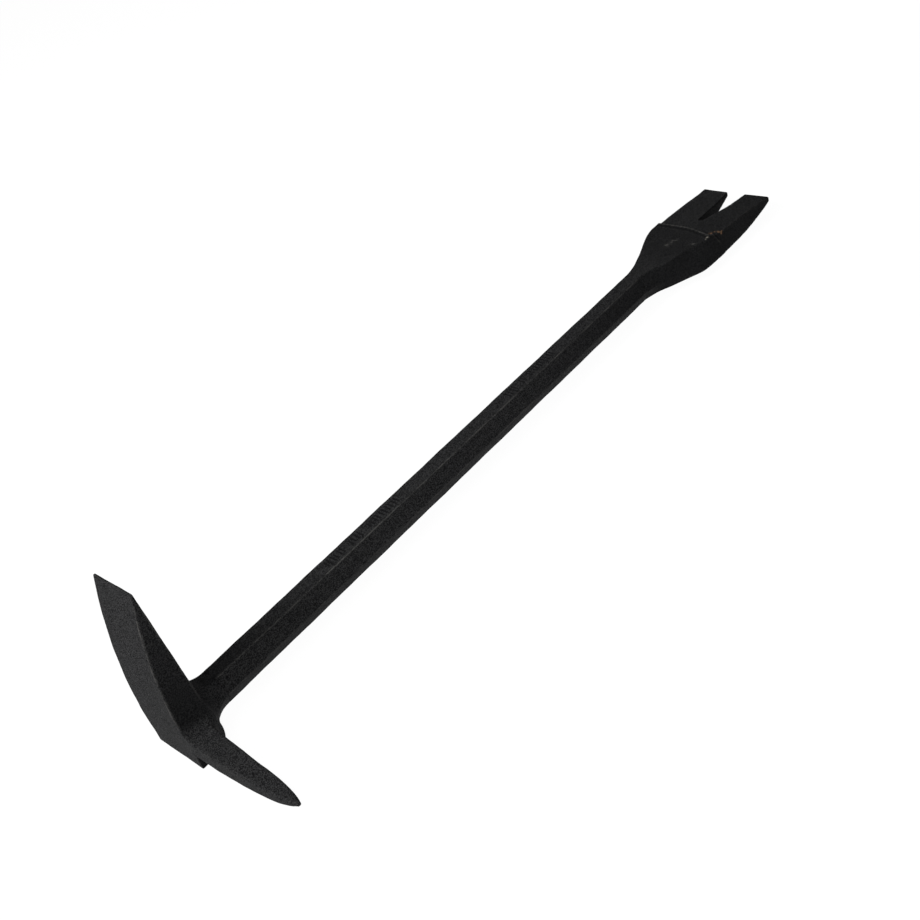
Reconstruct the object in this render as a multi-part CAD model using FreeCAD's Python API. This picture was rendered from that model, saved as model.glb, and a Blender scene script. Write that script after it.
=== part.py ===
"""Steel entry and pry bar: adze-and-pike head, hexagonal shaft and forked claw.

The pieces are modelled about the shaft's axis, with X running from the striking face to
the fork's tips, the adze up +Z and the pike along -Y. They are then lifted so that the
origin is at the centre of the bottom of the whole tool's box. Millimetres throughout.
"""

import FreeCAD, Part
import math
import os

# Driving dimensions
OVERALL_LENGTH = 762.0         # striking face to fork tips, 30 inches
ACROSS_FLATS = 25.4            # one inch hexagon

ADZE_HEIGHT = 128.0            # cutting edge above the shaft's axis
ADZE_EDGE_HALF_WIDTH = 22.5
ADZE_FACE_RADIUS = 423.0       # curve of the outer face
ADZE_FACE_TANGENT_Z = -4.0     # the striking face below this height is flat
ADZE_EDGE_THICKNESS = 1.2
ADZE_BEVEL_HEIGHT = 4.5
ADZE_INNER_LEAN = 0.033        # how far the inner face leans back, mm per mm

HEAD_BOTTOM = -24.0
HEAD_BASE_HALF_WIDTH = 26.0
HEAD_DEPTH = 26.5              # striking face to the back of the head block
HEEL_DEPTH = 22.7              # the same at the block's bottom
HEAD_CORNER = 1.2              # chamfer under the striking face

FLARE_RADIUS = 24.0            # hollow curve where the neck swells into the head
FLARE_START = 46.0

NECK_SIDE_CLEARANCE = 1.2      # flared neck inside the block's sides

PIKE_REACH = 130.0             # pike tip from the shaft's axis
PIKE_ROOT = 22.0               # where its sections start
PIKE_ROOT_TOP = 5.9
PIKE_ROOT_BOTTOM = -10.3

FORK_HALF_WIDTH = 37.0
FORK_TIP_GAP = 21.0
NOTCH_DEPTH = 66.0
NOTCH_ROOT_WIDTH = 5.8
CREASE_FROM_TIP = 85.0         # shoulder crease, measured back from the fork's tips
NECK_FROM_TIP = 178.0          # where the hexagon starts to swell into the fork

SPIGOT_RADIUS = 8.0
SPIGOT_LENGTH = 34.0
SPIGOT_CLEARANCE = 0.05
PIN_RADIUS = 3.0
PIN_TOP = 10.5                 # blind end of each cross pin, above the axis
PIN_SETBACK = 20.0             # pin's centre from the middle of the weld
WELD_ROOT = 2.0                # width of the groove at the spigot
WELD_MOUTH = 9.0               # width of the groove at the hexagon's corners
HEAD_SEAM = 50.0               # middle of the head's weld
FORK_SEAM_BEFORE_NECK = 6.0

# Derived sizes
CORNER_RADIUS = ACROSS_FLATS / math.sqrt(3.0)
HALF_FLATS = ACROSS_FLATS / 2.0
NECK_X = OVERALL_LENGTH - NECK_FROM_TIP
CREASE_X = OVERALL_LENGTH - CREASE_FROM_TIP
FORK_SEAM = NECK_X - FORK_SEAM_BEFORE_NECK
HEAD_PIN_X = HEAD_SEAM - PIN_SETBACK
FORK_PIN_X = FORK_SEAM + PIN_SETBACK
BORE_RADIUS = SPIGOT_RADIUS + SPIGOT_CLEARANCE
FAR = 400.0


def point(x, y, z):
    return FreeCAD.Vector(x, y, z)


def closed_wire(points):
    return Part.makePolygon(points + [points[0]])


def loft(wires):
    return Part.makeLoft(wires, True, True)


def prism(points, direction):
    return Part.Face(closed_wire(points)).extrude(direction)


def arc(first, middle, last):
    return Part.Arc(first, middle, last).toShape()


def line(first, last):
    return Part.LineSegment(first, last).toShape()


def hexagon(x, scale=1.0):
    """Hexagon across the shaft, with flats up and down and corners to the sides."""
    corners = []
    for step in range(6):
        angle = math.radians(60.0 * step)
        y = CORNER_RADIUS * scale * math.cos(angle)
        z = CORNER_RADIUS * scale * math.sin(angle)
        corners.append(point(x, y, z))
    return closed_wire(corners)


def hex_bar(start, end):
    return Part.Face(hexagon(start)).extrude(point(end - start, 0, 0))


def weld_groove(seam):
    """Solid of revolution that the weld fills: narrow at the spigot, wide outside."""
    root = WELD_ROOT / 2.0
    mouth = WELD_MOUTH / 2.0
    outer = CORNER_RADIUS + 1.0
    profile = [
        point(seam - root, 0, 0),
        point(seam - root, 0, SPIGOT_RADIUS),
        point(seam - mouth, 0, outer),
        point(seam + mouth, 0, outer),
        point(seam + root, 0, SPIGOT_RADIUS),
        point(seam + root, 0, 0),
    ]
    return Part.Face(closed_wire(profile)).revolve(point(0, 0, 0), point(1, 0, 0), 360)


def spigot(start, length, radius):
    return Part.makeCylinder(radius, length, point(start, 0, 0), point(1, 0, 0))


def pin_cylinder(x, radius):
    """Upright cross pin, from below the tool up to its blind end."""
    return Part.makeCylinder(radius, PIN_TOP - 2 * HEAD_BOTTOM, point(x, 0, 2 * HEAD_BOTTOM))


def shaft():
    left = HEAD_SEAM + WELD_ROOT / 2.0
    right = FORK_SEAM - WELD_ROOT / 2.0
    bar = hex_bar(left, right)
    bar = bar.cut(weld_groove(HEAD_SEAM))
    bar = bar.cut(weld_groove(FORK_SEAM))
    bar = bar.fuse(spigot(HEAD_SEAM - SPIGOT_LENGTH, SPIGOT_LENGTH + WELD_MOUTH, SPIGOT_RADIUS))
    bar = bar.fuse(spigot(FORK_SEAM - WELD_MOUTH, SPIGOT_LENGTH + WELD_MOUTH, SPIGOT_RADIUS))
    bar = bar.cut(pin_cylinder(HEAD_PIN_X, PIN_RADIUS))
    bar = bar.cut(pin_cylinder(FORK_PIN_X, PIN_RADIUS))
    return bar.removeSplitter()


def adze_outer_x(z):
    """Outer face of the adze: flat below the tangent height, then a large arc."""
    rise = max(0.0, z - ADZE_FACE_TANGENT_Z)
    return ADZE_FACE_RADIUS - math.sqrt(ADZE_FACE_RADIUS ** 2 - rise ** 2)


def adze_inner_x(z):
    return HEAD_DEPTH - ADZE_INNER_LEAN * z


def adze_block():
    """Side profile of the adze and striking block, trimmed to its tapered front outline."""
    edge_x = adze_outer_x(ADZE_HEIGHT)
    bevel_z = ADZE_HEIGHT - ADZE_BEVEL_HEIGHT
    middle_z = 0.5 * (ADZE_HEIGHT + ADZE_FACE_TANGENT_Z)
    y = -HEAD_BASE_HALF_WIDTH - 1.0
    corner_a = point(HEAD_CORNER, y, HEAD_BOTTOM)
    corner_b = point(0, y, HEAD_BOTTOM + HEAD_CORNER)
    tangent = point(0, y, ADZE_FACE_TANGENT_Z)
    edge_outer = point(edge_x, y, ADZE_HEIGHT)
    edge_inner = point(edge_x + ADZE_EDGE_THICKNESS, y, ADZE_HEIGHT)
    bevel = point(adze_inner_x(bevel_z), y, bevel_z)
    foot = point(HEAD_DEPTH, y, 0)
    heel = point(HEEL_DEPTH, y, HEAD_BOTTOM)
    edges = [
        line(corner_a, corner_b),
        line(corner_b, tangent),
        arc(tangent, point(adze_outer_x(middle_z), y, middle_z), edge_outer),
        line(edge_outer, edge_inner),
        line(edge_inner, bevel),
        line(bevel, foot),
        line(foot, heel),
        line(heel, corner_a),
    ]
    side = Part.Face(Part.Wire(edges)).extrude(point(0, -2 * y, 0))
    front = [
        point(-1, -HEAD_BASE_HALF_WIDTH, HEAD_BOTTOM),
        point(-1, HEAD_BASE_HALF_WIDTH, HEAD_BOTTOM),
        point(-1, ADZE_EDGE_HALF_WIDTH, ADZE_HEIGHT),
        point(-1, -ADZE_EDGE_HALF_WIDTH, ADZE_HEIGHT),
    ]
    return side.common(prism(front, point(2 * HEAD_DEPTH, 0, 0)))


def neck_scale(x):
    """Swelling of the neck's hexagon, as a hollow curve that meets the shaft smoothly."""
    run = max(0.0, FLARE_START - x)
    rise = FLARE_RADIUS - math.sqrt(FLARE_RADIUS ** 2 - run ** 2)
    return (HALF_FLATS + rise) / HALF_FLATS


def neck():
    """Flared hexagon between the shaft and the head block."""
    stations = [HEEL_DEPTH, 25.0, 28.0, 31.0, 35.0, 40.0, FLARE_START]
    flare = loft([hexagon(x, neck_scale(x)) for x in stations])
    width = 2 * (HEAD_BASE_HALF_WIDTH - NECK_SIDE_CLEARANCE)
    limit = Part.makeBox(FAR, width, FAR, point(0, -width / 2.0, HEAD_BOTTOM))
    return flare.common(limit).fuse(hex_bar(FLARE_START, HEAD_SEAM))


def pike_section(reach, back, front, bottom, top):
    """Four-cornered section at a distance out from the shaft's axis."""
    return closed_wire([
        point(back, -reach, bottom),
        point(front, -reach, bottom),
        point(front, -reach, top),
        point(back, -reach, top),
    ])


def pike():
    """Tapered pike: nearly straight sides that round in to a blunt point."""
    sections = [
        pike_section(PIKE_ROOT, 0.5, 19.1, PIKE_ROOT_BOTTOM, 6.7),
        pike_section(45.0, 0.5, 18.1, PIKE_ROOT_BOTTOM, PIKE_ROOT_TOP),
        pike_section(83.0, 2.4, 16.3, -10.7, 3.1),
        pike_section(100.0, 3.5, 15.7, -9.7, 1.9),
        pike_section(115.0, 5.4, 14.5, -8.2, 0.2),
        pike_section(125.0, 7.5, 12.6, -6.1, -1.5),
        pike_section(PIKE_REACH, 9.2, 10.9, -4.3, -3.1),
    ]
    return loft(sections)


def pike_web():
    """Hollow blend at the pike's root, in the corner towards the shaft."""
    low = PIKE_ROOT_BOTTOM
    at_neck = point(FLARE_START, -11.0, low)
    at_pike = point(17.7, -45.0, low)
    under_pike = point(10.0, -45.0, low)
    under_block = point(10.0, 0, low)
    under_neck = point(FLARE_START, 0, low)
    edges = [
        arc(at_neck, point(27.0, -24.0, low), at_pike),
        line(at_pike, under_pike),
        line(under_pike, under_block),
        line(under_block, under_neck),
        line(under_neck, at_neck),
    ]
    return Part.Face(Part.Wire(edges)).extrude(point(0, 0, PIKE_ROOT_TOP - low))


def pike_gusset():
    """Hollow blend at the pike's root, up the adze's side."""
    start = 1.5
    inside_pike = PIKE_ROOT_TOP - 1.2
    up_adze = point(start, -24.4, 20.0)
    out_pike = point(start, -43.0, PIKE_ROOT_TOP)
    outer_low = point(start, -43.0, inside_pike)
    inner_low = point(start, -20.0, inside_pike)
    inner_high = point(start, -20.0, 20.0)
    edges = [
        arc(up_adze, point(start, -29.5, 9.8), out_pike),
        line(out_pike, outer_low),
        line(outer_low, inner_low),
        line(inner_low, inner_high),
        line(inner_high, up_adze),
    ]
    return Part.Face(Part.Wire(edges)).extrude(point(18.0, 0, 0))


def head():
    body = adze_block().fuse([neck(), pike(), pike_web(), pike_gusset()])
    body = body.cut(weld_groove(HEAD_SEAM))
    bore_start = HEAD_SEAM - SPIGOT_LENGTH
    body = body.cut(spigot(bore_start, SPIGOT_LENGTH + WELD_ROOT, BORE_RADIUS))
    return body.removeSplitter()


def fork_section(x, top_y, top_z, side_y, side_z, low_y, low_z):
    """Six-sided section: a top edge, a side corner and a bottom edge on each side."""
    return closed_wire([
        point(x, side_y, side_z),
        point(x, top_y, top_z),
        point(x, -top_y, top_z),
        point(x, -side_y, side_z),
        point(x, -low_y, low_z),
        point(x, low_y, low_z),
    ])


def fork_shoulder():
    """The hexagon spreads into a flat block, as far as the crease across its top."""
    half_corner = CORNER_RADIUS / 2
    sections = [
        fork_section(NECK_X, half_corner, HALF_FLATS, CORNER_RADIUS, 0, half_corner, -HALF_FLATS),
        fork_section(NECK_X + 14, 10.6, 12.3, 16.2, -2.0, 11.2, -12.8),
        fork_section(NECK_X + 28, 16.3, 11.7, 20.3, -5.0, 18.8, -12.8),
        fork_section(NECK_X + 43, 20.7, 11.0, 26.6, -8.0, 26.5, -12.9),
        fork_section(NECK_X + 60, 26.5, 10.4, 35.0, -10.5, 34.8, -13.0),
        fork_section(NECK_X + 76, 32.5, 9.9, FORK_HALF_WIDTH, -11.0, 36.6, -13.0),
        fork_section(CREASE_X, 33.5, 9.5, FORK_HALF_WIDTH, -11.0, 36.6, -13.0),
    ]
    return loft(sections)


def fork_blade():
    """From the crease the block thins to the tips, a little lower than the shoulder."""
    sections = [
        fork_section(CREASE_X - 1, 33.3, 7.8, FORK_HALF_WIDTH, -11.0, 36.6, -13.0),
        fork_section(CREASE_X + 26, 34.8, 6.1, FORK_HALF_WIDTH, -11.0, 36.6, -12.9),
        fork_section(CREASE_X + 51, 35.0, 3.7, FORK_HALF_WIDTH, -9.5, 36.6, -11.5),
        fork_section(CREASE_X + 71, 35.8, 1.1, FORK_HALF_WIDTH, -6.5, 36.8, -8.3),
        fork_section(OVERALL_LENGTH, 36.6, -0.3, FORK_HALF_WIDTH, -3.0, 36.8, -4.7),
    ]
    return loft(sections)


def notch():
    """Nail slot between the tines, with a rounded root."""
    root_x = OVERALL_LENGTH - NOTCH_DEPTH
    half_root = NOTCH_ROOT_WIDTH / 2.0
    spread = (FORK_TIP_GAP / 2.0 - half_root) / NOTCH_DEPTH
    past_tip = OVERALL_LENGTH + 10.0
    half_mouth = half_root + spread * (past_tip - root_x)
    low = 2 * HEAD_BOTTOM
    start_a = point(root_x + half_root, half_root, low)
    start_b = point(root_x + half_root, -half_root, low)
    edges = [
        arc(start_a, point(root_x, 0, low), start_b),
        line(start_b, point(past_tip, -half_mouth, low)),
        line(point(past_tip, -half_mouth, low), point(past_tip, half_mouth, low)),
        line(point(past_tip, half_mouth, low), start_a),
    ]
    return Part.Face(Part.Wire(edges)).extrude(point(0, 0, -2 * low))


def fork():
    body = fork_shoulder().fuse([fork_blade(), hex_bar(FORK_SEAM, NECK_X)])
    body = body.cut(notch())
    body = body.cut(weld_groove(FORK_SEAM))
    body = body.cut(spigot(FORK_SEAM - WELD_ROOT, SPIGOT_LENGTH + WELD_ROOT, BORE_RADIUS))
    return body.removeSplitter()


def weld_ring(seam):
    """Weld metal in the groove, dressed flush with the hexagon."""
    bar = hex_bar(seam - WELD_MOUTH, seam + WELD_MOUTH)
    core = spigot(seam - WELD_MOUTH, 2 * WELD_MOUTH, SPIGOT_RADIUS)
    return bar.common(weld_groove(seam)).cut(core)


def pinned(body, x, core):
    """Drill the body for its pin; return the drilled body and the flush pin."""
    drill = pin_cylinder(x, PIN_RADIUS)
    pin = drill.common(body.fuse(core))
    return body.cut(drill), pin


def build():
    head_core = spigot(HEAD_SEAM - SPIGOT_LENGTH, SPIGOT_LENGTH, BORE_RADIUS)
    fork_core = spigot(FORK_SEAM, SPIGOT_LENGTH, BORE_RADIUS)
    head_body, head_pin = pinned(head(), HEAD_PIN_X, head_core)
    fork_body, fork_pin = pinned(fork(), FORK_PIN_X, fork_core)
    return {
        "hex_shaft": shaft(),
        "adze_pike_head": head_body,
        "fork_claw": fork_body,
        "head_cross_pin": head_pin,
        "fork_cross_pin": fork_pin,
        "head_weld_ring": weld_ring(HEAD_SEAM),
        "fork_weld_ring": weld_ring(FORK_SEAM),
    }


def main():
    os.makedirs("parts", exist_ok=True)
    middle_y = 0.5 * (FORK_HALF_WIDTH - PIKE_REACH)
    to_base = point(-OVERALL_LENGTH / 2.0, -middle_y, -HEAD_BOTTOM)
    for name, shape in build().items():
        shape.translate(to_base)
        shape.exportStep("parts/" + name + ".step")
        volume = round(shape.Volume / 1000, 2)
        print(name, "solids", len(shape.Solids), "volume", volume, "cm3 valid", shape.isValid())


main()
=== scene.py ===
"""Forged pry bar under a black coat: adze-and-pike head, hexagonal shaft and forked claw.

Shapes are written in tool axes, in millimetres: X runs from the striking face to the
fork's tips, Y across the tool and Z up towards the adze's edge, with the shaft's axis on
Y = Z = 0. The pike points to -Y, the near side. The two forgings are fields, negative
inside the metal, that are meshed at their zero level; the shaft, weld rings and pins are
rings of points joined by faces.
"""

import itertools
import math

import bpy
import numpy as np
from mathutils import Matrix, Vector


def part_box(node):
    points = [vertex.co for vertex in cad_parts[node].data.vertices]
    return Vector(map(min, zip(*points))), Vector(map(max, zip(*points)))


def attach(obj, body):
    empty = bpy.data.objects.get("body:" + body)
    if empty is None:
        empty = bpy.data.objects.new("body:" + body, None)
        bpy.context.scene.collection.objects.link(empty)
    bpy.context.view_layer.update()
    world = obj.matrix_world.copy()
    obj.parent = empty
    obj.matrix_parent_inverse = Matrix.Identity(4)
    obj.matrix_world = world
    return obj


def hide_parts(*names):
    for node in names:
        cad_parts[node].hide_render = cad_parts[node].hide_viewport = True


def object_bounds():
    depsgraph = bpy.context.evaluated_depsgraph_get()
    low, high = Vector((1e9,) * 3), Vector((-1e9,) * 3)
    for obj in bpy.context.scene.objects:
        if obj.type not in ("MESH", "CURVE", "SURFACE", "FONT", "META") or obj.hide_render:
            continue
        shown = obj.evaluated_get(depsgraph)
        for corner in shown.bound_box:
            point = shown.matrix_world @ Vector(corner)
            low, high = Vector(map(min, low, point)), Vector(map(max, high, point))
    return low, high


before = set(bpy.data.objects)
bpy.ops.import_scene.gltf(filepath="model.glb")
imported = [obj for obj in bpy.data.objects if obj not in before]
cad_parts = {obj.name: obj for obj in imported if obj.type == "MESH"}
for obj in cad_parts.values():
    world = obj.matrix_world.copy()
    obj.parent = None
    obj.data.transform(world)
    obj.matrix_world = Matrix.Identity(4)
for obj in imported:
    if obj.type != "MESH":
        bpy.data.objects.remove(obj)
cad_low, cad_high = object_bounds()

# ---- The frame: where the tool's axis runs, and the sizes that the CAD gives -----------
MM = 0.001
shaft_low, shaft_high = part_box("hex_shaft")
AXIS = Vector((cad_low.x, (shaft_low.y + shaft_high.y) / 2, (shaft_low.z + shaft_high.z) / 2))


def tool_box(node):
    """A CAD node's lowest and highest corners in tool axes, in millimetres."""
    return [(corner - AXIS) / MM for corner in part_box(node)]


head_low, head_high = tool_box("adze_pike_head")
fork_low, fork_high = tool_box("fork_claw")
bar_low, bar_high = tool_box("hex_shaft")
pin_low, pin_high = tool_box("head_cross_pin")

LENGTH = fork_high.x
HALF_FLATS = bar_high.z         # from the axis to the hexagon's flats
HALF_SIDE = HALF_FLATS / math.sqrt(3)
CORNER = 2 * HALF_SIDE          # from the axis to the hexagon's sharp corners
HEAD_BOTTOM = head_low.z
ADZE_TOP = head_high.z
PIKE_TIP = head_low.y
BLOCK_HALF_WIDTH = head_high.y
FORK_HALF_WIDTH = fork_high.y
HEAD_SEAM, FORK_SEAM = (
    sum(corner.x for corner in tool_box(ring)) / 2 for ring in ("head_weld_ring", "fork_weld_ring")
)
HEAD_PIN, FORK_PIN = (
    sum(corner.x for corner in tool_box(pin)) / 2 for pin in ("head_cross_pin", "fork_cross_pin")
)
PIN_RADIUS = (pin_high.x - pin_low.x) / 2
PIN_TOP = pin_high.z

# ---- Sizes of the forgings, in millimetres ---------------------------------------------
HEX_EDGE = 0.8                  # rounding of the shaft's six corners
SPIGOT_RADIUS = 8.0
CLEARANCE = 0.05                # between a spigot and its socket
WELD_HALF_WIDTH = 3.5
SEAM_EDGE = 0.25                # rounding of each edge beside a weld

ADZE_FACE_RADIUS = 423.0        # curve of the adze's outer face
ADZE_FACE_TANGENT = -4.0        # height where that curve starts
ADZE_TAPER = 0.0230             # how fast each side leans in, mm per mm
ADZE_INNER_LEAN = 0.033         # how far the inner face leans back above the axis
HEEL_LEAN = 0.16                # and how far the block draws in below it
BLOCK_DEPTH = 26.5
BEVEL_TOP_THICKNESS = 1.2
BEVEL_HEIGHT = 4.5
FACE_EDGE = 1.0                 # rounding round the outer face,
SIDE_EDGE = 0.8                 # round the sides,
BLADE_EDGE = 0.3                # at the blade
SOLE_EDGE = 1.2                 # and round the underside

FLARE_RADIUS = 24.0             # hollow curve where the neck swells into the head
FLARE_START = 46.0
FLARE_EDGE = 3.0
NECK_FILLET = 3.5
PIKE_FILLET = 2.5               # inside corner where the pike leaves the block
PIKE_FULLNESS = 12.5            # added to that fillet on top and towards the shaft
PIKE_EDGE = 1.3
PIKE_TIP_EDGE = 0.8

NOTCH_DEPTH = 66.0
NOTCH_ROOT_RADIUS = 2.9
NOTCH_SPREAD = 0.115            # how fast each wall of the notch leans out, mm per mm
NECK = LENGTH - 178.0           # where the hexagon starts to swell into the fork
CREASE = LENGTH - 85.0          # step across the top, where the tines begin
CREASE_FILLET = 0.8
FORK_EDGE = 0.7
TINE_EDGE = 0.6                 # rounding at the tips and along the notch

CELL = 0.75      # mesh spacing on the forgings
GRADIENT_STEP = 0.1
# This reach serves both the worn edges and the painted shade in inside corners.
WEAR_AND_SHADE_REACH = 1.6                # how far from a surface point an edge or corner is felt
FORGING_WAVE = 0.12             # height of the forgings' slight unevenness
COAT_THICKNESS = 0.3

# ---- Stamped marks: plain bars in groups, as (first mark, number of marks) -------------
MARK_GROUPS = ((170.0, 3), (197.0, 2), (218.0, 5), (394.0, 2), (414.0, 1), (425.0, 5))
MARK_PITCH = 7.2
MARK_LENGTH = 7.5
MARK_WIDTH = 1.5
MARK_GAP = 3.2                  # between the two bars of one mark
MARK_DEPTH = 0.55
MARK_ROUNDING = 0.5
MARK_STEP = 0.45                # mesh spacing round the marks
SHAFT_STEP = 4.0                # and along the rest of the shaft


# ---- Fields ----------------------------------------------------------------------------
def round_cut(a, b, radius):
    """Intersection of two fields, its outside edge rounded."""
    edge = np.hypot(np.maximum(a + radius, 0), np.maximum(b + radius, 0))
    return np.minimum(-radius, np.maximum(a, b)) + edge


def fillet_join(a, b, radius):
    """Union of two fields, its inside corner filled to a radius."""
    corner = np.hypot(np.maximum(radius - a, 0), np.maximum(radius - b, 0))
    return np.maximum(radius, np.minimum(a, b)) - corner


def ramp(t, start, end):
    """Smooth step from 0 at start to 1 at end."""
    u = np.clip((t - start) / (end - start), 0, 1)
    return u * u * (3 - 2 * u)


def band(t, centre, width):
    """Smooth bump, 1 at the centre."""
    return np.exp(-(((t - centre) / width) ** 2))


def track(t, stations, values):
    """Smooth curve through the values at the stations, level beyond the last ones."""
    s = np.asarray(stations, float)
    v = np.asarray(values, float)
    slope = np.gradient(v, s)
    t = np.clip(t, s[0], s[-1])
    i = np.clip(np.searchsorted(s, t) - 1, 0, len(s) - 2)
    span = s[i + 1] - s[i]
    u = (t - s[i]) / span
    rise = (3 - 2 * u) * u * u
    return (
        v[i] * (1 - rise)
        + v[i + 1] * rise
        + span * u * (1 - u) * (slope[i] * (1 - u) - slope[i + 1] * u)
    )


def hexagon(y, z):
    """Distance outside the hexagon's flats; flats up and down, corners to the sides."""
    slant = 0.5 * np.abs(z) + math.sqrt(0.75) * np.abs(y) - HALF_FLATS
    other = np.abs(0.5 * np.abs(z) - math.sqrt(0.75) * np.abs(y)) - HALF_FLATS
    sides = round_cut(slant, other, HEX_EDGE)
    return round_cut(np.abs(z) - HALF_FLATS, sides, HEX_EDGE)


def bore(x, y, z, start, end):
    """Round hole along the axis that takes the shaft's spigot."""
    middle = (start + end) / 2
    return np.maximum(
        np.hypot(y, z) - SPIGOT_RADIUS - CLEARANCE, np.abs(x - middle) - (end - start) / 2
    )


def pin_hole(x, y, z, centre):
    return np.maximum(np.hypot(x - centre, y) - PIN_RADIUS, z - PIN_TOP)


def striking_face(x, z):
    """Flat low down, then curving back up the adze's outer face."""
    rise = np.maximum(z - ADZE_FACE_TANGENT, 0)
    return np.hypot(x - ADZE_FACE_RADIUS, rise) - ADZE_FACE_RADIUS


def adze_block(x, y, z):
    """Adze and striking block: a curved outer face, a leaning inner face, tapered sides."""
    inner = x - BLOCK_DEPTH + np.where(z > 0, ADZE_INNER_LEAN, -HEEL_LEAN) * z
    rise = ADZE_TOP - ADZE_FACE_TANGENT
    edge_x = ADZE_FACE_RADIUS - math.sqrt(ADZE_FACE_RADIUS**2 - rise**2) + BEVEL_TOP_THICKNESS
    inner_x = BLOCK_DEPTH - ADZE_INNER_LEAN * (ADZE_TOP - BEVEL_HEIGHT)
    bevel = x - edge_x - (inner_x - edge_x) / BEVEL_HEIGHT * (ADZE_TOP - z)
    slab = np.maximum(striking_face(x, z), np.maximum(inner, bevel))
    sides = np.abs(y) - BLOCK_HALF_WIDTH + ADZE_TAPER * (z - HEAD_BOTTOM)
    return round_cut(round_cut(slab, sides, SIDE_EDGE), z - ADZE_TOP, BLADE_EDGE)


def flared_neck(x, y, z):
    """Hexagon that swells in a hollow curve until it meets the striking block."""
    height = hexagon(y, z) + HALF_FLATS
    run = np.clip(FLARE_START - x, 0, 0.94 * FLARE_RADIUS)
    hollow = FLARE_RADIUS - np.hypot(run, height - HALF_FLATS - FLARE_RADIUS)
    flare = np.where(height < HALF_FLATS + FLARE_RADIUS, hollow, height - HALF_FLATS)
    flare = round_cut(flare, np.abs(y) - BLOCK_HALF_WIDTH + 1.2, FLARE_EDGE)
    flare = round_cut(flare, HEAD_BOTTOM + 0.6 - z, FLARE_EDGE)
    return np.maximum(flare, BLOCK_DEPTH - 8 - x)


def pike(x, y, z):
    """Square-sectioned pike with a nearly straight taper that rounds in to a blunt point."""
    out = -np.asarray(y, float)
    reach = -PIKE_TIP
    stations = (22, 45, 83, 100, 115, 125, reach)
    back = track(out, stations, (0.5, 0.5, 2.4, 3.5, 5.4, 7.5, 9.2))
    front = track(out, stations, (19.1, 18.1, 16.3, 15.7, 14.5, 12.6, 10.9))
    bottom = track(out, stations, (-10.3, -10.3, -10.7, -9.7, -8.2, -6.1, -4.3))
    top = track(out, stations, (6.7, 5.9, 3.1, 1.9, 0.2, -1.5, -3.1))
    half_x, half_z = (front - back) / 2, (top - bottom) / 2
    edge = np.minimum(PIKE_EDGE, 0.8 * np.minimum(half_x, half_z))
    section = round_cut(
        np.abs(x - (front + back) / 2) - half_x, np.abs(z - (top + bottom) / 2) - half_z, edge
    )
    return np.maximum(round_cut(section, out - reach, PIKE_TIP_EDGE), 14 - out)


def head_outside(x, y, z):
    """The head forging before it is bored, drilled and trimmed to its weld."""
    body = fillet_join(adze_block(x, y, z), flared_neck(x, y, z), NECK_FILLET)
    fullness = np.maximum(ramp(z, -8, 3), ramp(x, 5, 15))
    body = fillet_join(body, pike(x, y, z), PIKE_FILLET + PIKE_FULLNESS * fullness)
    body = round_cut(body, striking_face(x, z), FACE_EDGE)
    return round_cut(body, HEAD_BOTTOM - z, SOLE_EDGE)


def head(x, y, z):
    """The whole head forging, bored for the shaft and drilled for its pin."""
    body = round_cut(head_outside(x, y, z), x - HEAD_SEAM + WELD_HALF_WIDTH, SEAM_EDGE)
    body = np.maximum(body, -bore(x, y, z, bar_low.x, HEAD_SEAM))
    return np.maximum(body, -pin_hole(x, y, z, HEAD_PIN))


def six_sided(y, z, top, top_y, side_z, side_y, low, low_y, edge):
    """Section with a flat top and bottom and a ridge along each side, its edges rounded."""
    side, rise = np.abs(y) - side_y, z - side_z
    up, down = top - side_z, side_z - low
    in_above, in_below = side_y - top_y, side_y - low_y
    upper = (side * up + rise * in_above) / np.hypot(up, in_above)
    lower = (side * down - rise * in_below) / np.hypot(down, in_below)
    flanks = round_cut(upper, lower, edge)
    return round_cut(round_cut(z - top, flanks, edge), low - z, edge)


def crease(y):
    """Where the shoulder's front edge lies: square on the far side, worn back on the near."""
    return CREASE + track(y, (-35, -28, -20, -8, 4), (0.5, -7.0, -5.2, -1.6, 0.6))


def near_side_painted_shade(x, facing_y):
    """Painted shade on the near side, from mid shaft to the fork."""
    return 0.65 * ramp(x, 380, 640) * ramp(-facing_y, 0.3, 0.7)


def top_flat_painted_shadow(x, facing_z):
    """Painted shadow of the adze on the top flat, close to the head."""
    return 0.6 * (1 - ramp(x, 50, 125)) * ramp(facing_z, 0.86, 0.95)


def shaft_painted_shade(points, normals):
    """All the painted shade and shadow on the shaft and its welds."""
    x = points[:, 0]
    return np.maximum(near_side_painted_shade(x, normals[:, 1]), top_flat_painted_shadow(x, normals[:, 2]))


def head_wear_and_shade(points, normals, edge, hollow):
    """No wear at the blade and the pike's tip; painted shade low on the side and under the pike,
    and the adze's painted shadow on the neck.
    """
    x, y, z = points.T
    # Painted shade on the side face above the pike, the adze's painted shadow on the neck, and
    # painted shade on the block under the pike.
    side_painted_shade = 0.45 * ramp(-normals[:, 1], 0.7, 0.95) * ramp(z, 8, 16) * ramp(-z, -110, -30)
    neck_painted_shadow = top_flat_painted_shadow(x, normals[:, 2]) * ramp(x, 24, 30) * (np.abs(y) < 12)
    on_block = y > -BLOCK_HALF_WIDTH - 2
    painted_shade_under_pike = 0.9 * ramp(-normals[:, 1], 0.5, 0.9) * ramp(-z, 9, 13) * on_block
    dark = np.max([side_painted_shade, neck_painted_shadow, painted_shade_under_pike], axis=0)
    thin = np.maximum(ramp(z, ADZE_TOP - 9, ADZE_TOP - 5), ramp(-y, 114, 124))
    return edge * (1 - thin), np.maximum(hollow, dark)


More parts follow.
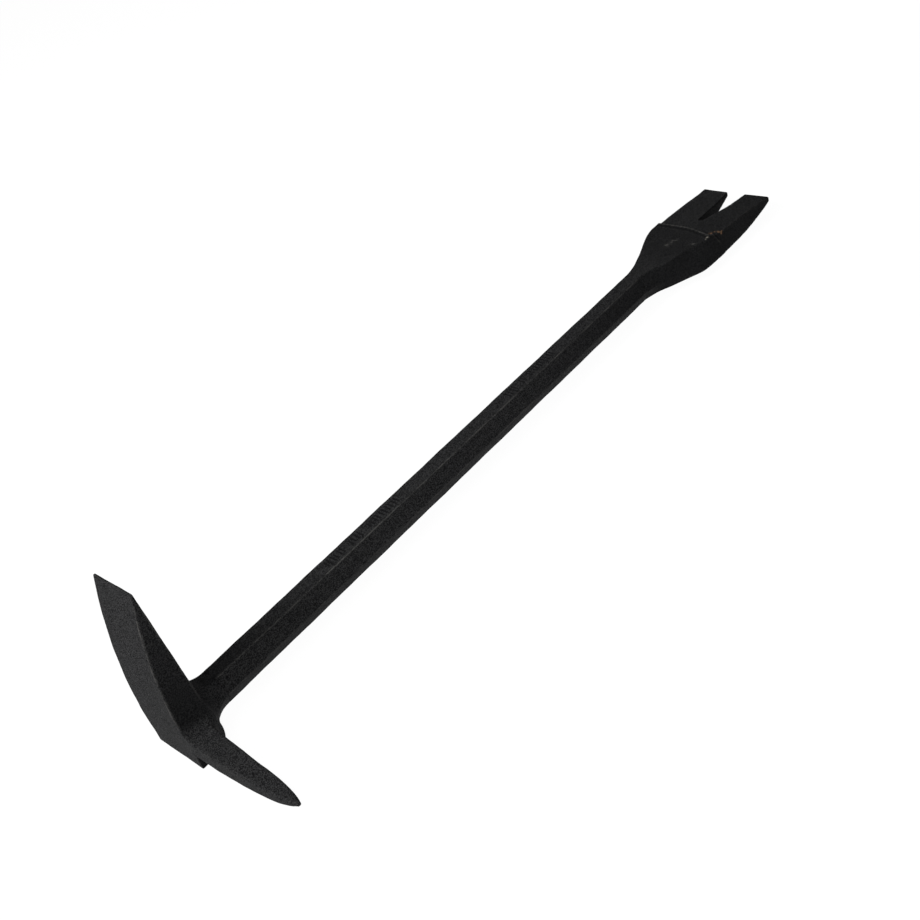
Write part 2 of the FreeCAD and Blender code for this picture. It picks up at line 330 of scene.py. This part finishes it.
def fork_wear_and_shade(points, normals, edge, hollow):
    """Worn line along the crease; painted shade behind it, in the notch, over the shoulder's top,
    on the near tine and on the near side.
    """
    x, y, z = points.T
    behind = crease(y) - x + 0.5 * np.sin(1.3 * y) + 0.4 * np.sin(2.9 * y + 1)
    on_top = ramp(z, 5, 8) * ramp(-np.abs(y), -36, -33)
    rubbed = on_top * band(behind, 0.6, 1.9)
    # Painted shade: a dark band behind the crease, black in the notch, and darker over the
    # shoulder's top, the near tine and the near side.
    crease_painted_shade = on_top * band(behind, 4.6, 1.8)
    in_notch = 1 - ramp(notch(x, y), 0.3, 0.9)
    shoulder = 0.4 * on_top * ramp(behind, 3, 12) * ramp(x, NECK + 15, NECK + 50)
    near_tine_painted_shade = 0.35 * ramp(-y, -5, 15) * ramp(x, CREASE - 8, CREASE)
    side = near_side_painted_shade(x, normals[:, 1])
    dark = np.max([crease_painted_shade, in_notch, shoulder, near_tine_painted_shade, side], axis=0)
    return np.maximum(edge, rubbed) * (1 - in_notch), np.maximum(hollow, dark)


def fork_shoulder(x, y, z):
    """The hexagon spreads into a flat block, as far as the crease across its top."""
    run = np.asarray(x, float) - NECK
    stations = (0, 14, 28, 43, 60, 68, 76, CREASE - NECK)
    far_ridge = track(run, stations, (HALF_SIDE, 10.4, 15.4, 21.4, 28.8, 31.8, 34.0, 35.2))
    near_ridge = track(run, stations, (HALF_SIDE, 10.8, 17.2, 20.0, 23.4, 27.8, 30.2, 31.0))
    section = six_sided(
        y,
        z,
        track(run, stations, (HALF_FLATS, 12.3, 11.7, 11.0, 10.4, 10.1, 9.9, 9.5)),
        np.where(y > 0, far_ridge, near_ridge),
        track(run, stations, (0, -2.0, -5.0, -8.0, -10.5, -10.8, -11.0, -11.0)),
        track(run, stations, (CORNER, 16.2, 20.3, 26.6, 35.0, 36.4, 36.9, FORK_HALF_WIDTH)),
        track(run, stations, (-HALF_FLATS, -12.8, -12.8, -12.9, -13.0, -13.0, -13.0, -13.0)),
        track(run, stations, (HALF_SIDE, 11.2, 18.8, 26.5, 34.6, 36.1, 36.5, 36.6)),
        HEX_EDGE,
    )
    shape = np.where(run < 0, hexagon(y, z), section)
    return round_cut(shape, x - crease(y), FORK_EDGE)


def fork_tines(x, y, z):
    """From the crease the block thins to the tips; each tine's top dips towards the notch."""
    run = np.asarray(x, float) - CREASE
    length = LENGTH - CREASE
    stations = (0, 22, 36, 50, 64, 71, length)
    top_y = track(run, stations, (34.4, 34.7, 34.9, 35.0, 35.4, 35.8, 36.4))
    near_top_y = track(run, (-8, 0, 8, 22, 50, length), (28.0, 31.2, 33.4, 34.6, 35.0, 36.4))
    top_y = np.where(y > 0, top_y, near_top_y)
    dip = track(run, (0, 13, 33, 53, 63, 71, length), (0, 0, 1.4, 2.4, 2.4, 1.6, 0.6))
    top = track(run, stations, (7.8, 6.4, 5.2, 3.8, 2.0, 1.0, -0.3))
    section = six_sided(
        y,
        z,
        top - dip * np.clip(1 - np.abs(y) / top_y, 0, 1),
        top_y,
        track(run, stations, (-11, -11, -10.6, -9.6, -7.4, -6.2, -3.4)),
        FORK_HALF_WIDTH,
        track(run, stations, (-13.0, -12.9, -12.4, -11.5, -9.3, -8.0, -4.7)),
        track(run, stations, (36.6, 36.6, 36.6, 36.6, 36.7, 36.8, 36.8)),
        FORK_EDGE,
    )
    body = round_cut(np.maximum(section, CREASE - 9 - x), x - LENGTH, TINE_EDGE)
    return round_cut(body, -notch(x, y), TINE_EDGE)


def notch(x, y):
    """Slot between the tines, its walls spreading from a round root."""
    from_centre = x - (LENGTH - NOTCH_DEPTH + NOTCH_ROOT_RADIUS)
    walls = np.abs(y) - NOTCH_ROOT_RADIUS - NOTCH_SPREAD * from_centre
    return np.where(from_centre > 0, walls, np.hypot(from_centre, y) - NOTCH_ROOT_RADIUS)


def fork_outside(x, y, z):
    """The fork forging before it is bored, drilled and trimmed to its weld."""
    return fillet_join(fork_shoulder(x, y, z), fork_tines(x, y, z), CREASE_FILLET)


def fork(x, y, z):
    """The whole fork forging, bored for the shaft and drilled for its pin."""
    body = round_cut(fork_outside(x, y, z), FORK_SEAM + WELD_HALF_WIDTH - x, SEAM_EDGE)
    body = np.maximum(body, -bore(x, y, z, FORK_SEAM, bar_high.x))
    return np.maximum(body, -pin_hole(x, y, z, FORK_PIN))


# ---- Meshing ---------------------------------------------------------------------------
def gradient(field, points):
    """Unit outward normals of the field's level surface, and the gradient's own length."""
    steps = np.eye(3) * GRADIENT_STEP
    g = np.stack([field(*(points + s).T) - field(*(points - s).T) for s in steps], 1)
    size = np.linalg.norm(g, axis=1, keepdims=True)
    return g / np.maximum(size, 1e-9), size[:, 0] / (2 * GRADIENT_STEP)


def onto_surface(field, points, rounds=3):
    """Points moved along the field's gradient to its zero level."""
    for _ in range(rounds):
        normal, size = gradient(field, points)
        move = field(*points.T) / np.maximum(size, 0.3)
        points = points - normal * np.clip(move, -CELL, CELL)[:, None]
    return points


def surface_net(field, low, high):
    """Vertices and quads of the field's zero level: a vertex in each crossed grid cell."""
    axes = [np.arange(a - 2 * CELL, b + 3 * CELL, CELL) for a, b in zip(low, high)]
    values = field(*np.meshgrid(*axes, indexing="ij", sparse=True))
    inside = values < 0
    cells_shape = tuple(n - 1 for n in inside.shape)
    corners = [
        inside[tuple(slice(c, c + n) for c, n in zip(corner, cells_shape))]
        for corner in itertools.product((0, 1), repeat=3)
    ]
    crossed = np.any(corners, axis=0) & ~np.all(corners, axis=0)
    index = np.full(cells_shape, -1)
    index[crossed] = np.arange(crossed.sum())
    cells = np.argwhere(crossed)

    total = np.zeros((len(cells), 3))
    hits = np.zeros(len(cells))
    quads = []
    for axis in range(3):
        u, v = (axis + 1) % 3, (axis + 2) % 3
        for du, dv in itertools.product((0, 1), repeat=2):
            start = cells.copy()
            start[:, u] += du
            start[:, v] += dv
            end = start.copy()
            end[:, axis] += 1
            a, b = values[tuple(start.T)], values[tuple(end.T)]
            hit = (a < 0) != (b < 0)
            point = start[hit].astype(float)
            point[:, axis] += a[hit] / (a[hit] - b[hit])
            total[hit] += point
            hits[hit] += 1
        edges = np.argwhere(np.diff(inside, axis=axis))
        leaving = inside[tuple(edges.T)]
        ring = []
        for du, dv in ((1, 1), (0, 1), (0, 0), (1, 0)):
            cell = edges.copy()
            cell[:, u] -= du
            cell[:, v] -= dv
            ring.append(index[tuple(cell.T)])
        quad = np.stack(ring, 1)
        quads.append(np.where(leaving[:, None], quad, quad[:, ::-1]))
    origin = np.array([a[0] for a in axes])
    return origin + CELL * total / hits[:, None], np.concatenate(quads)


def relaxed(field, points, quads, rounds=3):
    """Evens out the quads by sliding vertices along the surface."""
    starts = quads.ravel()
    ends = np.roll(quads, -1, axis=1).ravel()
    count = np.bincount(starts, minlength=len(points)) + np.bincount(ends, minlength=len(points))
    for _ in range(rounds):
        normal, _ = gradient(field, points)
        near = np.stack(
            [
                np.bincount(starts, points[ends, k], len(points))
                + np.bincount(ends, points[starts, k], len(points))
                for k in range(3)
            ],
            1,
        )
        slide = near / count[:, None] - points
        slide -= normal * (slide * normal).sum(1, keepdims=True)
        points = onto_surface(field, points + 0.5 * slide, rounds=1)
    return points


def skin(points):
    """Thickness of the coat with the slow rise and fall left by the hammer, in millimetres."""
    x, y, z = points.T
    slow = np.sin(x / 6.1 + 1.3) * np.sin(y / 4.7 + 0.4 * np.sin(x / 9)) + np.sin(z / 5.3 + x / 13)
    quick = np.sin(x / 2.3 + y / 3.1) * np.sin(z / 2.7 - y / 4.9 + 2.0)
    return COAT_THICKNESS + FORGING_WAVE * (0.6 * slow + 0.4 * quick)


def edge_wear_and_corner_shade(field, points, normals):
    """0 to 1 over outside edges, for wear, and 0 to 1 in inside corners, for painted shade."""
    sunk = field(*(points - normals * WEAR_AND_SHADE_REACH).T) + WEAR_AND_SHADE_REACH
    raised = WEAR_AND_SHADE_REACH - field(*(points + normals * WEAR_AND_SHADE_REACH).T)
    full = 0.5 * WEAR_AND_SHADE_REACH
    return np.clip(sunk / full, 0, 1), np.clip(raised / full, 0, 1)


# ---- Pieces ----------------------------------------------------------------------------
def to_frame(points):
    """From tool axes in millimetres to the frame's metres."""
    return np.asarray(points, float) * MM + np.array(AXIS)


def add_piece(name, points, faces, node, material, edge=None, hollow=None):
    """A mesh piece that stands for a CAD node and rides on the tool's one body."""
    mesh = bpy.data.meshes.new(name)
    mesh.from_pydata(to_frame(points).tolist(), [], [list(map(int, f)) for f in faces])
    mesh.shade_smooth()
    # The edge attribute holds wear; the hollow attribute holds painted shade.
    for label, values in (("edge", edge), ("hollow", hollow)):
        layer = mesh.attributes.new(label, "FLOAT", "POINT")
        if values is not None:
            layer.data.foreach_set("value", np.asarray(values, np.float32))
    piece = bpy.data.objects.new(name, mesh)
    bpy.context.scene.collection.objects.link(piece)
    mesh.materials.append(material)
    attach(piece, "root")
    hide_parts(node)


def forging(name, field, outside, low, high, node, material, local_wear_and_shade):
    """A field's zero level between two corners, coated and worn on its outside surfaces, with
    painted shade.
    """
    points, quads = surface_net(field, low, high)
    points = relaxed(field, onto_surface(field, points), quads)
    normals, _ = gradient(field, points)
    # Wear along edges, and painted shade in corners and shaded places.
    edge, hollow = local_wear_and_shade(points, normals, *edge_wear_and_corner_shade(outside, points, normals))
    on_outside = np.abs(outside(*points.T)) < 0.2
    points = points + normals * (on_outside * skin(points))[:, None]
    points[:, 2] = np.maximum(points[:, 2], HEAD_BOTTOM)
    add_piece(name, points, quads, node, material, edge, hollow)


def hexagon_profile():
    """Directions round the shaft's section, evenly close across the top flat's middle."""
    reach = MARK_LENGTH / 2 + 0.9
    marked = np.arange(-reach, reach + 0.1, MARK_STEP)
    limit = math.atan2(HALF_FLATS, marked[-1] + 0.3)
    from_corner = (-7, -5, -3.5, -2.2, -1.1, 0, 1.1, 2.2, 3.5, 5, 7, 13, 21, 30, 39, 47)
    degrees = [corner + a for corner in range(0, 360, 60) for a in from_corner]
    plain = {round(math.radians(a % 360), 5) for a in degrees}
    angles = {a for a in plain if not limit < a < math.pi - limit}
    angles |= {round(math.atan2(HALF_FLATS, y), 5) for y in marked}
    return np.array(sorted(angles))


def hexagon_radius(angles):
    """Distance from the axis to the rounded hexagon in each direction."""
    low, high = np.zeros(len(angles)), np.full(len(angles), 2 * HALF_FLATS)
    for _ in range(40):
        middle = (low + high) / 2
        outside = hexagon(middle * np.cos(angles), middle * np.sin(angles)) > 0
        low, high = np.where(outside, low, middle), np.where(outside, middle, high)
    return (low + high) / 2


def ridge_wear(radius):
    """1 along the hexagon's corners, fading out on the flats beside them."""
    return 1 - ramp(CORNER - radius, 0.2, 0.5)


def ring_points(rings, angles):
    """Points of successive rings, each given as its x and its radius in every direction."""
    return np.array(
        [(x, r * math.cos(a), r * math.sin(a)) for x, ring in rings for r, a in zip(ring, angles)]
    )


def ring_faces(rings, count):
    """Quads between successive rings of count points."""
    i = np.arange(count)
    after = (i + 1) % count
    return [
        quad
        for r in range(rings - 1)
        for quad in np.stack([i, after, count + after, count + i], 1) + r * count
    ]


def end_faces(total, count):
    """Flat faces over the first and the last ring."""
    return [list(range(count))[::-1], list(range(total - count, total))]


def outwards(points):
    """Unit directions away from the shaft's axis."""
    away = np.stack([0 * points[:, 0], points[:, 1], points[:, 2]], 1)
    return away / np.linalg.norm(away, axis=1, keepdims=True)


def on_hexagon(points):
    """1 for points on the hexagon's surface, 0 for those on a spigot."""
    return (np.hypot(points[:, 1], points[:, 2]) > SPIGOT_RADIUS + 1).astype(float)


def stamped(x, y):
    """1 in the floor of a stamped bar, 0 away from it."""
    depth = np.zeros(np.broadcast(x, y).shape)
    for first, number in MARK_GROUPS:
        for k in range(number):
            for side in (-0.5, 0.5):
                centre = first + k * MARK_PITCH + side * MARK_GAP
                across = np.maximum(np.abs(x - centre) - MARK_WIDTH / 2 + MARK_ROUNDING, 0)
                along = np.maximum(np.abs(y) - MARK_LENGTH / 2 + MARK_ROUNDING, 0)
                outside = np.hypot(across, along) - MARK_ROUNDING
                depth = np.maximum(depth, 1 - ramp(outside, -0.35, 0.35))
    return depth


def shaft_stations(start, end):
    """Places along the hexagon, close together under the stamped marks and at its ends."""
    margin = 4
    stations = list(np.arange(start + 0.3, end - 0.3, SHAFT_STEP))
    for first, number in MARK_GROUPS:
        last = first + (number - 1) * MARK_PITCH
        stations = [s for s in stations if not first - margin < s < last + margin]
        stations += list(np.arange(first - margin, last + margin, MARK_STEP))
    return [start, start + 0.12, *sorted(stations), end - 0.12, end]


def shaft_piece(material):
    """Hexagonal bar with a round spigot at each end and stamped marks along its top flat."""
    angles = hexagon_profile()
    radius = hexagon_radius(angles)
    spigot = np.full(len(angles), SPIGOT_RADIUS - CLEARANCE)
    start, end = HEAD_SEAM + WELD_HALF_WIDTH, FORK_SEAM - WELD_HALF_WIDTH
    end_edge, spigot_edge = 0.06, 0.8
    rings = [(bar_low.x, spigot * 0.9), (bar_low.x + spigot_edge, spigot), (start, spigot)]
    rings += [
        (s, radius - (end_edge if s in (start, end) else 0)) for s in shaft_stations(start, end)
    ]
    rings += [(end, spigot), (bar_high.x - spigot_edge, spigot), (bar_high.x, spigot * 0.9)]
    points = ring_points(rings, angles)
    on_top = (points[:, 2] > HALF_FLATS - 0.2) & (np.abs(points[:, 1]) < MARK_LENGTH)
    mark = stamped(points[:, 0], points[:, 1]) * on_top
    coated = on_hexagon(points)
    normals = outwards(points)
    edge = np.tile(ridge_wear(radius), len(rings)) * coated
    points = points + normals * (coated * skin(points))[:, None]
    points[:, 2] -= MARK_DEPTH * mark
    # Painted shade: the stamped marks' floors and the shaded places of the shaft are darkened.
    hollow = np.maximum(mark, shaft_painted_shade(points, normals))
    faces = ring_faces(len(rings), len(angles)) + end_faces(len(points), len(angles))
    faces = [f[::-1] for f in faces]
    add_piece(
        "hexagonal_shaft", points, faces, "hex_shaft", material, edge, hollow
    )


def weld_piece(name, seam, node, material):
    """Ring of weld metal round the spigot, dressed flush with the hexagon."""
    angles = np.linspace(0, 2 * math.pi, 180, endpoint=False)
    radius = hexagon_radius(angles)
    half_width = WELD_HALF_WIDTH - 0.05
    rings = []
    for offset in np.linspace(-1, 1, 19) * half_width:
        crown = 0.10 * (1 - (offset / WELD_HALF_WIDTH) ** 2) - 0.05
        ripple = 0.03 * np.sin(angles * 40 + 1.2 * np.cos(offset * 0.9))
        rings.append((seam + offset, radius + crown + ripple))
    inner = np.full(len(angles), SPIGOT_RADIUS)
    rings += [(seam + half_width, inner), (seam - half_width, inner)]
    points = ring_points(rings, angles)
    faces = np.array(ring_faces(len(rings) + 1, len(angles))) % len(points)
    normals = outwards(points)
    points += normals * (on_hexagon(points) * skin(points))[:, None]
    edge = np.tile(ridge_wear(radius), len(rings))
    # Painted shade on the welds, as on the shaft.
    hollow = shaft_painted_shade(points, normals)
    add_piece(name, points, faces[:, ::-1], node, material, edge, hollow)


def pin_piece(name, centre, body, node, material):
    """Round pin driven up from below, its end peened to a low dome."""
    dome, lower_edge, upper_edge = 0.45, 0.2, 0.4
    depths = np.linspace(HEAD_BOTTOM - 1, -SPIGOT_RADIUS - 0.5, 400)
    inside = body(centre + PIN_RADIUS + 0.6, 0.0, depths) < 0
    surface = depths[np.argmax(inside)] - COAT_THICKNESS
    count = 64
    angles = np.linspace(0, 2 * math.pi, count, endpoint=False)
    profile = [
        (PIN_RADIUS * s, surface - dome * (1 - s**3)) for s in np.linspace(0.1, 0.93, 8)
    ]
    profile += [
        (PIN_RADIUS, surface + lower_edge),
        (PIN_RADIUS, PIN_TOP - upper_edge),
        (PIN_RADIUS - upper_edge, PIN_TOP),
    ]
    points = [(centre + r * math.cos(a), r * math.sin(a), z) for r, z in profile for a in angles]
    faces = ring_faces(len(profile), count) + end_faces(len(points), count)
    add_piece(name, points, faces, node, material)


# ---- Materials -------------------------------------------------------------------------
class Nodes:
    """Small helper that adds and wires shader nodes."""

    def __init__(self, name):
        self.material = bpy.data.materials.new(name)
        self.material.use_nodes = True
        self.tree = self.material.node_tree
        self.shader = self.tree.nodes["Principled BSDF"]

    def add(self, kind, inputs=(), **settings):
        """A node with its settings and inputs: a value is set, another node's output is linked."""
        made = self.tree.nodes.new(kind)
        for key, value in settings.items():
            setattr(made, key, value)
        for key, value in dict(inputs).items():
            self.feed(made.inputs[key], value)
        return made

    def feed(self, socket, value):
        """Links another node's output to the socket, or sets its value."""
        if isinstance(value, bpy.types.NodeSocket):
            self.tree.links.new(value, socket)
        else:
            socket.default_value = value

    def noise(self, where, scale, detail=2.0, roughness=0.5):
        settings = {"Vector": where, "Scale": scale, "Detail": detail, "Roughness": roughness}
        return self.add("ShaderNodeTexNoise", settings).outputs["Fac"]

    def math(self, operation, a, b=0.0, clamp=False):
        made = self.add("ShaderNodeMath", {0: a, 1: b}, operation=operation, use_clamp=clamp)
        return made.outputs[0]

    def between(self, value, low, high, out_low=0.0, out_high=1.0):
        """Value smoothly remapped from low..high."""
        inputs = {"Value": value, "From Min": low, "From Max": high}
        inputs |= {"To Min": out_low, "To Max": out_high}
        made = self.add("ShaderNodeMapRange", inputs, interpolation_type="SMOOTHSTEP")
        return made.outputs["Result"]

    def mix(self, share, a, b):
        made = self.add("ShaderNodeMix", data_type="RGBA")
        self.feed(made.inputs["Factor"], share)
        self.feed(made.inputs[6], a)
        self.feed(made.inputs[7], b)
        return made.outputs[2]

    def vector(self, operation, a, b, output="Vector"):
        inputs = {0: a, ("Scale" if operation == "SCALE" else 1): b}
        return self.add("ShaderNodeVectorMath", inputs, operation=operation).outputs[output]

    def streak(self, where, start, end, radius, noise, softness):
        """Ragged streak of a radius in millimetres between two places in tool axes."""
        along = Vector(end) - Vector(start)
        from_start = self.vector("SUBTRACT", where, Vector(to_frame(start)))
        unit = along / (along.length_squared * MM)
        share = self.vector("DOT_PRODUCT", from_start, unit, output="Value")
        share = self.math("ADD", share, 0.0, clamp=True)
        walked = self.vector("SCALE", along * MM, share)
        rest = self.vector("SUBTRACT", from_start, walked)
        distance = self.add("ShaderNodeVectorMath", {0: rest}, operation="LENGTH").outputs["Value"]
        ragged = self.math("ADD", distance, self.math("MULTIPLY", noise, radius * MM * RAGGEDNESS))
        outer = RAGGEDNESS / 2 + 0.9
        return self.between(ragged, radius * MM * outer, radius * MM * (outer - softness))


RAGGEDNESS = 5                  # how far noise moves a streak's outline, in radii
COAT_BLACK = (0.0030, 0.0031, 0.0034, 1)
COAT_GREY = (0.035, 0.035, 0.0355, 1)
COAT_WORN = (0.085, 0.083, 0.078, 1)
BARE_STEEL = (0.19, 0.18, 0.155, 1)
RUST = (0.105, 0.062, 0.036, 1)
COAT_SHEEN = 0.045
GRAIN_SCALE, FLAKE_SCALE, BLOTCH_SCALE, CLOUD_SCALE = 1200, 420, 210, 45
GRAIN_DEPTH = 0.0006            # in metres
# Worn places near the crease, as (start, end, radius)
BARE_STREAKS = (
    ((673.6, -22.0, 9.2), (670.0, -26.8, 9.5), 1.5),
    ((664.5, -28.4, 9.6), (660.0, -29.2, 9.4), 1.1),
    ((673.7, -14.6, 9.2), (673.7, -17.4, 9.2), 0.9),
)
RUST_STREAKS = (((674.0, -24.0, 7.8), (681.5, -33.0, 6.8), 1.9),)
SCUFFS = (
    ((641.0, 1.2, 10.7), (652.0, -0.7, 10.4), 4.0),
    ((648.0, -19.0, 10.3), (652.0, -25.0, 9.8), 2.0),
)


def worn_places(n, where, streaks, noise, softness):
    """1 inside any of the streaks, 0 away from all of them."""
    worn = 0.0
    for start, end, radius in streaks:
        worn = n.math("MAXIMUM", worn, n.streak(where, start, end, radius, noise, softness))
    return worn


def coat(name, worn_spots):
    """Thick black coat with a sandy grain, thinner and lighter along worn edges, and darkened by
    the painted shade in the hollow attribute.
    """
    n = Nodes(name)
    where = n.add("ShaderNodeTexCoord").outputs["Object"]
    grain = n.noise(where, GRAIN_SCALE, 1.0)
    blotch = n.noise(where, BLOTCH_SCALE, 4.0, 0.6)
    cloud = n.noise(where, CLOUD_SCALE)
    flake = n.noise(where, FLAKE_SCALE, 3.0, 0.6)
    edge = n.add("ShaderNodeAttribute", attribute_name="edge").outputs["Fac"]
    hollow = n.add("ShaderNodeAttribute", attribute_name="hollow").outputs["Fac"]

    mottle = n.math("MULTIPLY", n.math("SUBTRACT", blotch, 0.5), 0.5)
    speckle = n.math("ADD", n.between(grain, 0.38, 0.62), mottle)
    colour = n.mix(n.math("MULTIPLY", speckle, 0.6, clamp=True), COAT_BLACK, COAT_GREY)
    patchy = n.between(n.math("ADD", blotch, cloud), 0.8, 1.2, 0.25, 1.0)
    rubbed = n.math("MULTIPLY", n.math("POWER", edge, 2.5), patchy, clamp=True)
    colour = n.mix(n.math("MULTIPLY", rubbed, 0.65), colour, COAT_WORN)
    # Painted shade: the hollow attribute darkens the coat towards black.
    colour = n.mix(n.math("MULTIPLY", hollow, 0.9), colour, COAT_BLACK)
    if worn_spots:
        scuff, rust, bare = (
            worn_places(n, where, streaks, flake, softness)
            for streaks, softness in ((SCUFFS, 1.6), (RUST_STREAKS, 1.0), (BARE_STREAKS, 0.7))
        )
        colour = n.mix(n.math("MULTIPLY", scuff, 0.4), colour, COAT_WORN)
        colour = n.mix(n.math("MULTIPLY", rust, 0.85), colour, RUST)
        colour = n.mix(bare, colour, BARE_STEEL)
        n.feed(n.shader.inputs["Metallic"], n.math("MULTIPLY", bare, 0.7))

    n.feed(n.shader.inputs["Base Color"], colour)
    n.feed(n.shader.inputs["Roughness"], n.between(blotch, 0.3, 0.7, 0.72, 0.86))
    n.shader.inputs["Specular IOR Level"].default_value = COAT_SHEEN

    height = n.math("ADD", grain, n.math("MULTIPLY", blotch, 0.8))
    bump = n.add("ShaderNodeBump", {"Strength": 0.8, "Distance": GRAIN_DEPTH, "Height": height})
    n.feed(n.shader.inputs["Normal"], bump.outputs["Normal"])
    return n.material


def floor_material():
    """Matt and pale, with a glow of its own so that it renders nearly white."""
    n = Nodes("pale_floor")
    n.shader.inputs["Emission Color"].default_value = (1, 1, 1, 1)
    n.shader.inputs["Emission Strength"].default_value = FLOOR_GLOW
    n.shader.inputs["Base Color"].default_value = (0.05, 0.05, 0.05, 1)
    n.shader.inputs["Roughness"].default_value = 1.0
    n.shader.inputs["Specular IOR Level"].default_value = 0.0
    return n.material


black_coat = coat("black_coat", worn_spots=False)
worn_coat = coat("black_coat_worn_at_crease", worn_spots=True)

forging(
    "adze_pike_head_forging",
    head,
    head_outside,
    (0, PIKE_TIP, HEAD_BOTTOM),
    (HEAD_SEAM, BLOCK_HALF_WIDTH, ADZE_TOP),
    "adze_pike_head",
    black_coat,
    head_wear_and_shade,
)
forging(
    "fork_claw_forging",
    fork,
    fork_outside,
    (FORK_SEAM, -FORK_HALF_WIDTH, fork_low.z),
    (LENGTH, FORK_HALF_WIDTH, HALF_FLATS),
    "fork_claw",
    worn_coat,
    fork_wear_and_shade,
)
shaft_piece(black_coat)
weld_piece("head_weld_bead", HEAD_SEAM, "head_weld_ring", black_coat)
weld_piece("fork_weld_bead", FORK_SEAM, "fork_weld_ring", black_coat)
pin_piece("head_pin", HEAD_PIN, head, "head_cross_pin", black_coat)
pin_piece("fork_pin", FORK_PIN, fork, "fork_cross_pin", black_coat)

# ---- Stage, light and camera -----------------------------------------------------------
FLOOR_HALF = 8.0
FLOOR_GLOW = 0.97
corners = [(FLOOR_HALF * x, FLOOR_HALF * y, 0) for x, y in ((-1, -1), (1, -1), (1, 1), (-1, 1))]
floor_mesh = bpy.data.meshes.new("floor")
floor_mesh.from_pydata(corners, [], [(0, 1, 2, 3)])
floor_mesh.materials.append(floor_material())
floor = bpy.data.objects.new("floor", floor_mesh)
floor.location.z = cad_low.z
bpy.context.scene.collection.objects.link(floor)

HORIZON_GLOW = 0.75             # pale walls low down, fading out overhead
ROOM_GLOW = 0.02
FADE_HEIGHT = 0.35
world = bpy.data.worlds.new("studio")
world.use_nodes = True
background = world.node_tree.nodes["Background"]
background.inputs["Color"].default_value = (1, 1, 1, 1)
direction = world.node_tree.nodes.new("ShaderNodeTexCoord")
height_above = world.node_tree.nodes.new("ShaderNodeSeparateXYZ")
fade = world.node_tree.nodes.new("ShaderNodeMapRange")
fade.inputs["From Max"].default_value = FADE_HEIGHT
fade.inputs["To Min"].default_value = HORIZON_GLOW
fade.inputs["To Max"].default_value = ROOM_GLOW
world.node_tree.links.new(direction.outputs["Generated"], height_above.inputs[0])
world.node_tree.links.new(height_above.outputs["Z"], fade.inputs["Value"])
world.node_tree.links.new(fade.outputs["Result"], background.inputs["Strength"])
bpy.context.scene.world = world
bpy.context.scene.view_settings.view_transform = "Standard"


def softbox(name, place, aim, size, power):
    """Rectangular area light turned towards a point."""
    light = bpy.data.lights.new(name, "AREA")
    light.shape = "RECTANGLE"
    light.size, light.size_y = size
    light.energy = power
    lamp = bpy.data.objects.new(name, light)
    lamp.location = place
    lamp.rotation_euler = (Vector(aim) - Vector(place)).to_track_quat("-Z", "Y").to_euler()
    bpy.context.scene.collection.objects.link(lamp)


# Name, place, size and power of each light, in metres and watts
SOFTBOXES = (
    ("key_softbox", (-2.8, 0.5, 2.3), (0.9, 0.9), 145),
    ("top_softbox", (-0.2, 0.0, 2.0), (1.2, 1.2), 11),
    ("back_softbox", (0.1, 1.5, 1.2), (1.2, 0.9), 5),
    ("front_softbox", (-0.6, -0.25, 0.8), (0.4, 0.4), 4.5),
)
for name, place, size, power in SOFTBOXES:
    softbox(name, place, (cad_low + cad_high) / 2, size, power)

# Lens, place, aim and roll of the camera; place and aim are in tool axes
LENS = 47.61
EYE = Vector((-172.0, -644.4, 594.4)) * MM + AXIS
AIM = Vector((318.1, -4.2, 0.0)) * MM + AXIS
ROLL = math.radians(19.25)

camera_data = bpy.data.cameras.new("camera")
camera_data.lens = LENS
camera_data.sensor_width = 36.0
camera_data.clip_end = 60.0
camera = bpy.data.objects.new("camera", camera_data)
bpy.context.scene.collection.objects.link(camera)
bpy.context.scene.camera = camera
back = (EYE - AIM).normalized()
level_right = Vector((0, 0, 1)).cross(back).normalized()
level_up = back.cross(level_right)
right = level_right * math.cos(ROLL) - level_up * math.sin(ROLL)
up = back.cross(right)
camera.matrix_world = Matrix.Translation(EYE) @ Matrix((right, up, back)).transposed().to_4x4()

bpy.context.view_layer.update()
